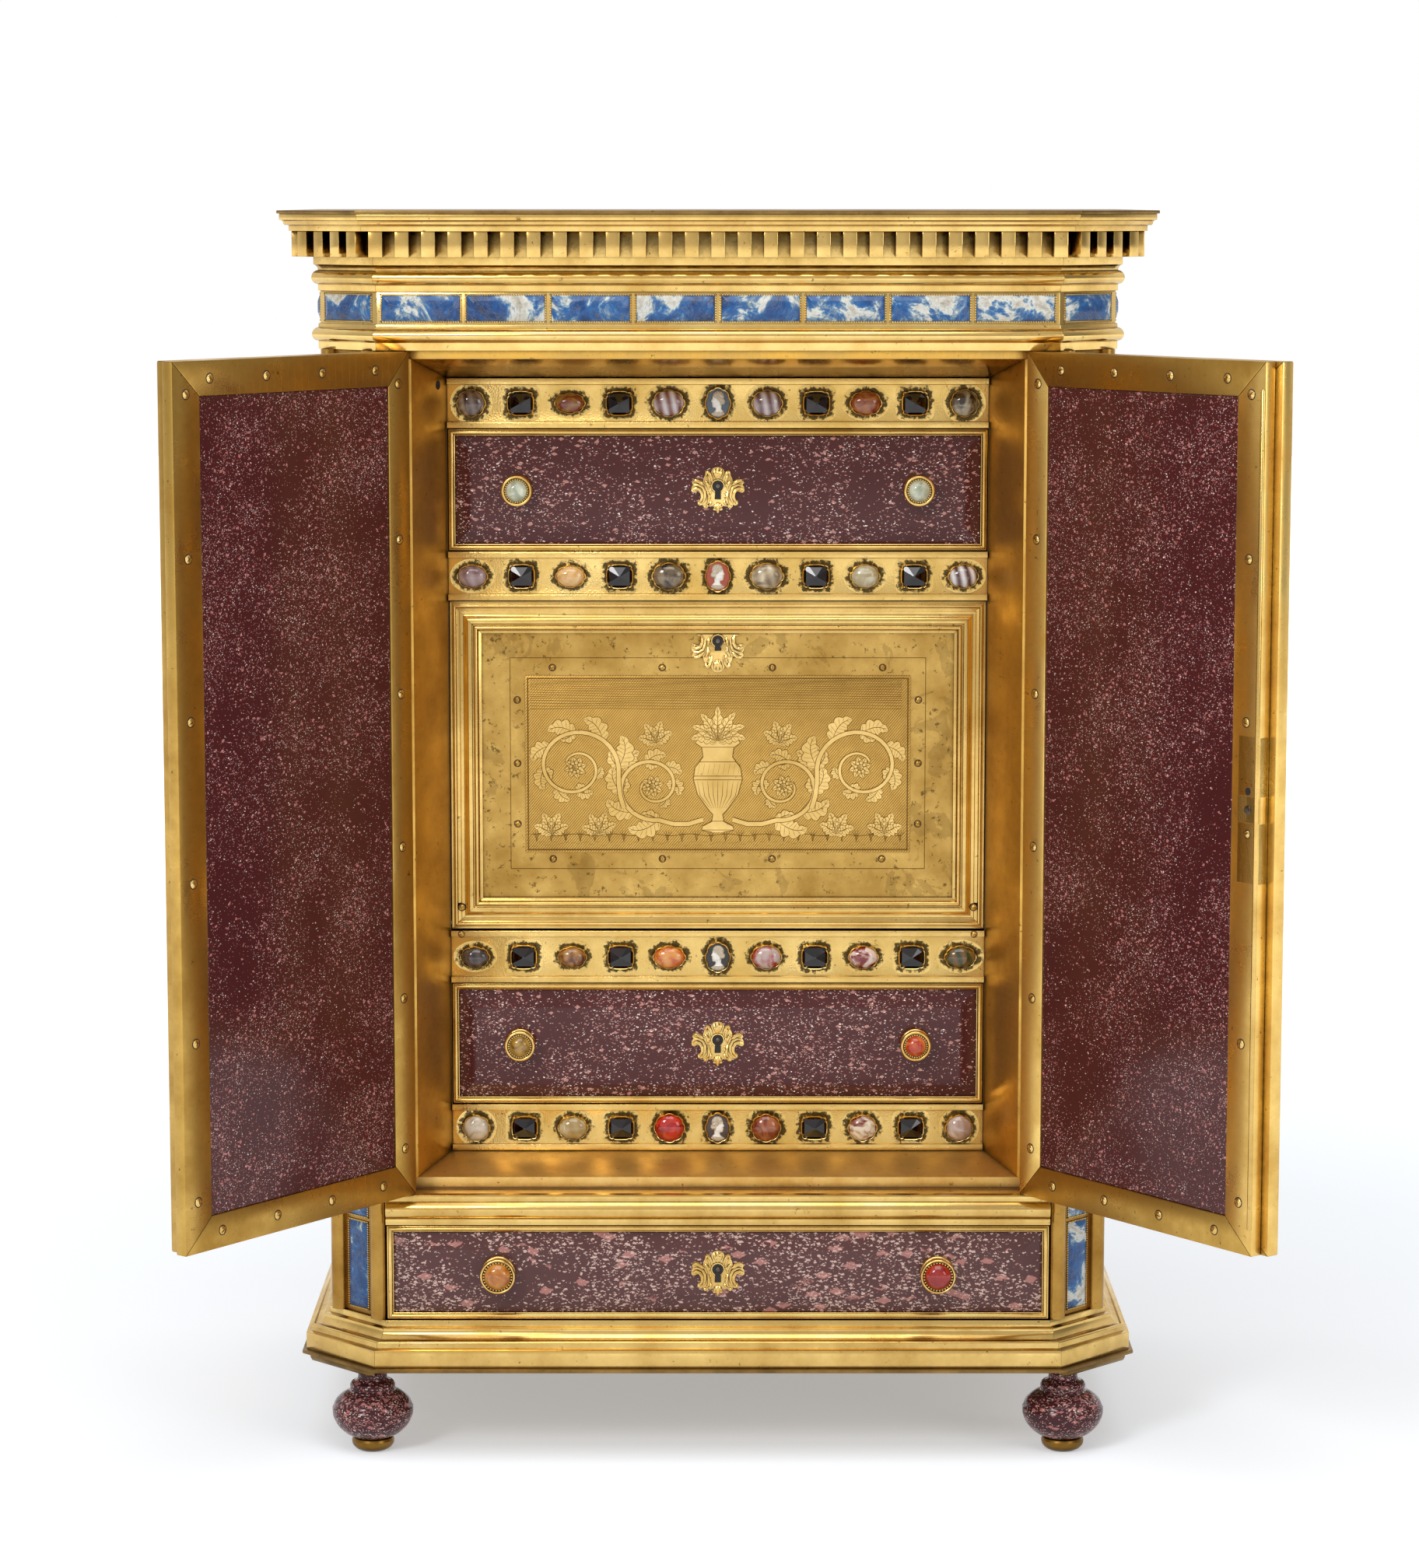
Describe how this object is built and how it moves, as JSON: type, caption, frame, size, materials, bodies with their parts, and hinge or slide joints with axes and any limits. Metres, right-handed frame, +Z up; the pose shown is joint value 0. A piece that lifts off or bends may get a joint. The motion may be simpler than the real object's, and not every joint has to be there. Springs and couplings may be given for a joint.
{
  "type": "collector cabinet",
  "caption": "Gilt table cabinet with canted corners, stone panels and set stones: two hinged doors, drawers and a fall front behind and below them.",
  "frame": {"origin": "middle of the floor area covered by the cabinet with its doors open, at foot level", "axes": "+Z up, +X to the right seen from the front, the front faces -Y"},
  "size_m": [0.49, 0.3594, 0.5844],
  "materials": {
    "gilt": "fire gilt, hand finished",
    "porphyry": "polished",
    "lapis": "polished",
    "agate": "polished cabochon",
    "garnet": "table cut, polished",
    "cameo": "carved in low relief",
    "knob_stone": "polished cabochon",
    "wood": "plain, waxed",
    "steel": "filed"
  },
  "bodies": {
    "case": {"foot_pads": "gilt", "bottom_plate": "gilt", "plinth_mouldings": "gilt", "side_frames": "gilt", "corner_posts": "gilt", "waist_moulding": "gilt", "reveal": "gilt", "gem_rails": "gilt", "collets": "gilt", "entablature": "gilt", "dentil_cornice": "gilt", "crown": "gilt", "foot_stones": "porphyry", "side_stones": "porphyry", "lapis_plaques": "lapis", "agates": "agate", "garnets": "garnet", "cameos": "cameo", "base_board": "wood", "carcass_sides": "wood", "back_panel": "wood", "waist_board": "wood", "inner_cheeks": "wood", "shelves": "wood", "top_core": "wood", "pivot_pins": "steel"},
    "left_door": {"left_door_frame": "gilt", "left_door_inner_stone": "porphyry", "left_door_outer_stone": "porphyry"},
    "right_door": {"right_door_frame": "gilt", "right_door_lock": "gilt", "right_door_inner_stone": "porphyry", "right_door_outer_stone": "porphyry"},
    "upper_drawer": {"upper_drawer_rim": "gilt", "upper_drawer_lock": "gilt", "upper_drawer_knobs": "gilt", "upper_drawer_stone": "porphyry", "upper_drawer_knob_stones": "knob_stone", "upper_drawer_box": "wood"},
    "lower_drawer": {"lower_drawer_rim": "gilt", "lower_drawer_lock": "gilt", "lower_drawer_knobs": "gilt", "lower_drawer_stone": "porphyry", "lower_drawer_knob_stones": "knob_stone", "lower_drawer_box": "wood"},
    "base_drawer": {"base_drawer_rim": "gilt", "base_drawer_lock": "gilt", "base_drawer_knobs": "gilt", "base_drawer_stone": "porphyry", "base_drawer_knob_stones": "knob_stone", "base_drawer_box": "wood"},
    "fall_front": {"fall_leaf": "gilt", "fall_plate": "gilt", "fall_lock": "gilt"},
    "upper_drawer_bolt": {"upper_drawer_bolt": "steel"},
    "lower_drawer_bolt": {"lower_drawer_bolt": "steel"},
    "base_drawer_bolt": {"base_drawer_bolt": "steel"},
    "fall_bolt": {"fall_bolt": "steel"},
    "door_bolt": {"door_bolt": "steel"}
  },
  "joints": [
    {"name": "left_door_hinge", "type": "hinge", "parent": "case", "child": "left_door", "pos_m": [-0.152, -0.05214, 0.3236], "axis": [0, 0, -1], "range_deg": [-127.2, 0]},
    {"name": "right_door_hinge", "type": "hinge", "parent": "case", "child": "right_door", "pos_m": [0.152, -0.05214, 0.3236], "axis": [0, 0, 1], "range_deg": [-127.2, 0]},
    {"name": "upper_drawer_slide", "type": "slide", "parent": "case", "child": "upper_drawer", "axis": [0, -1, 0], "range_m": [0, 0.12]},
    {"name": "lower_drawer_slide", "type": "slide", "parent": "case", "child": "lower_drawer", "axis": [0, -1, 0], "range_m": [0, 0.12]},
    {"name": "base_drawer_slide", "type": "slide", "parent": "case", "child": "base_drawer", "axis": [0, -1, 0], "range_m": [0, 0.15]},
    {"name": "fall_front_hinge", "type": "hinge", "parent": "case", "child": "fall_front", "pos_m": [0, -0.00664, 0.2476], "axis": [1, 0, 0], "range_deg": [0, 90]},
    {"name": "upper_drawer_bolt_slide", "type": "slide", "parent": "upper_drawer", "child": "upper_drawer_bolt", "axis": [0, 0, 1], "range_m": [0, 0.0045]},
    {"name": "lower_drawer_bolt_slide", "type": "slide", "parent": "lower_drawer", "child": "lower_drawer_bolt", "axis": [0, 0, 1], "range_m": [0, 0.0045]},
    {"name": "base_drawer_bolt_slide", "type": "slide", "parent": "base_drawer", "child": "base_drawer_bolt", "axis": [0, 0, 1], "range_m": [0, 0.0045]},
    {"name": "fall_bolt_slide", "type": "slide", "parent": "fall_front", "child": "fall_bolt", "axis": [0, 0, 1], "range_m": [0, 0.0045]},
    {"name": "door_bolt_slide", "type": "slide", "parent": "right_door", "child": "door_bolt", "axis": [0.6046, -0.7965, 0], "range_m": [0, 0.004]}
  ]
}
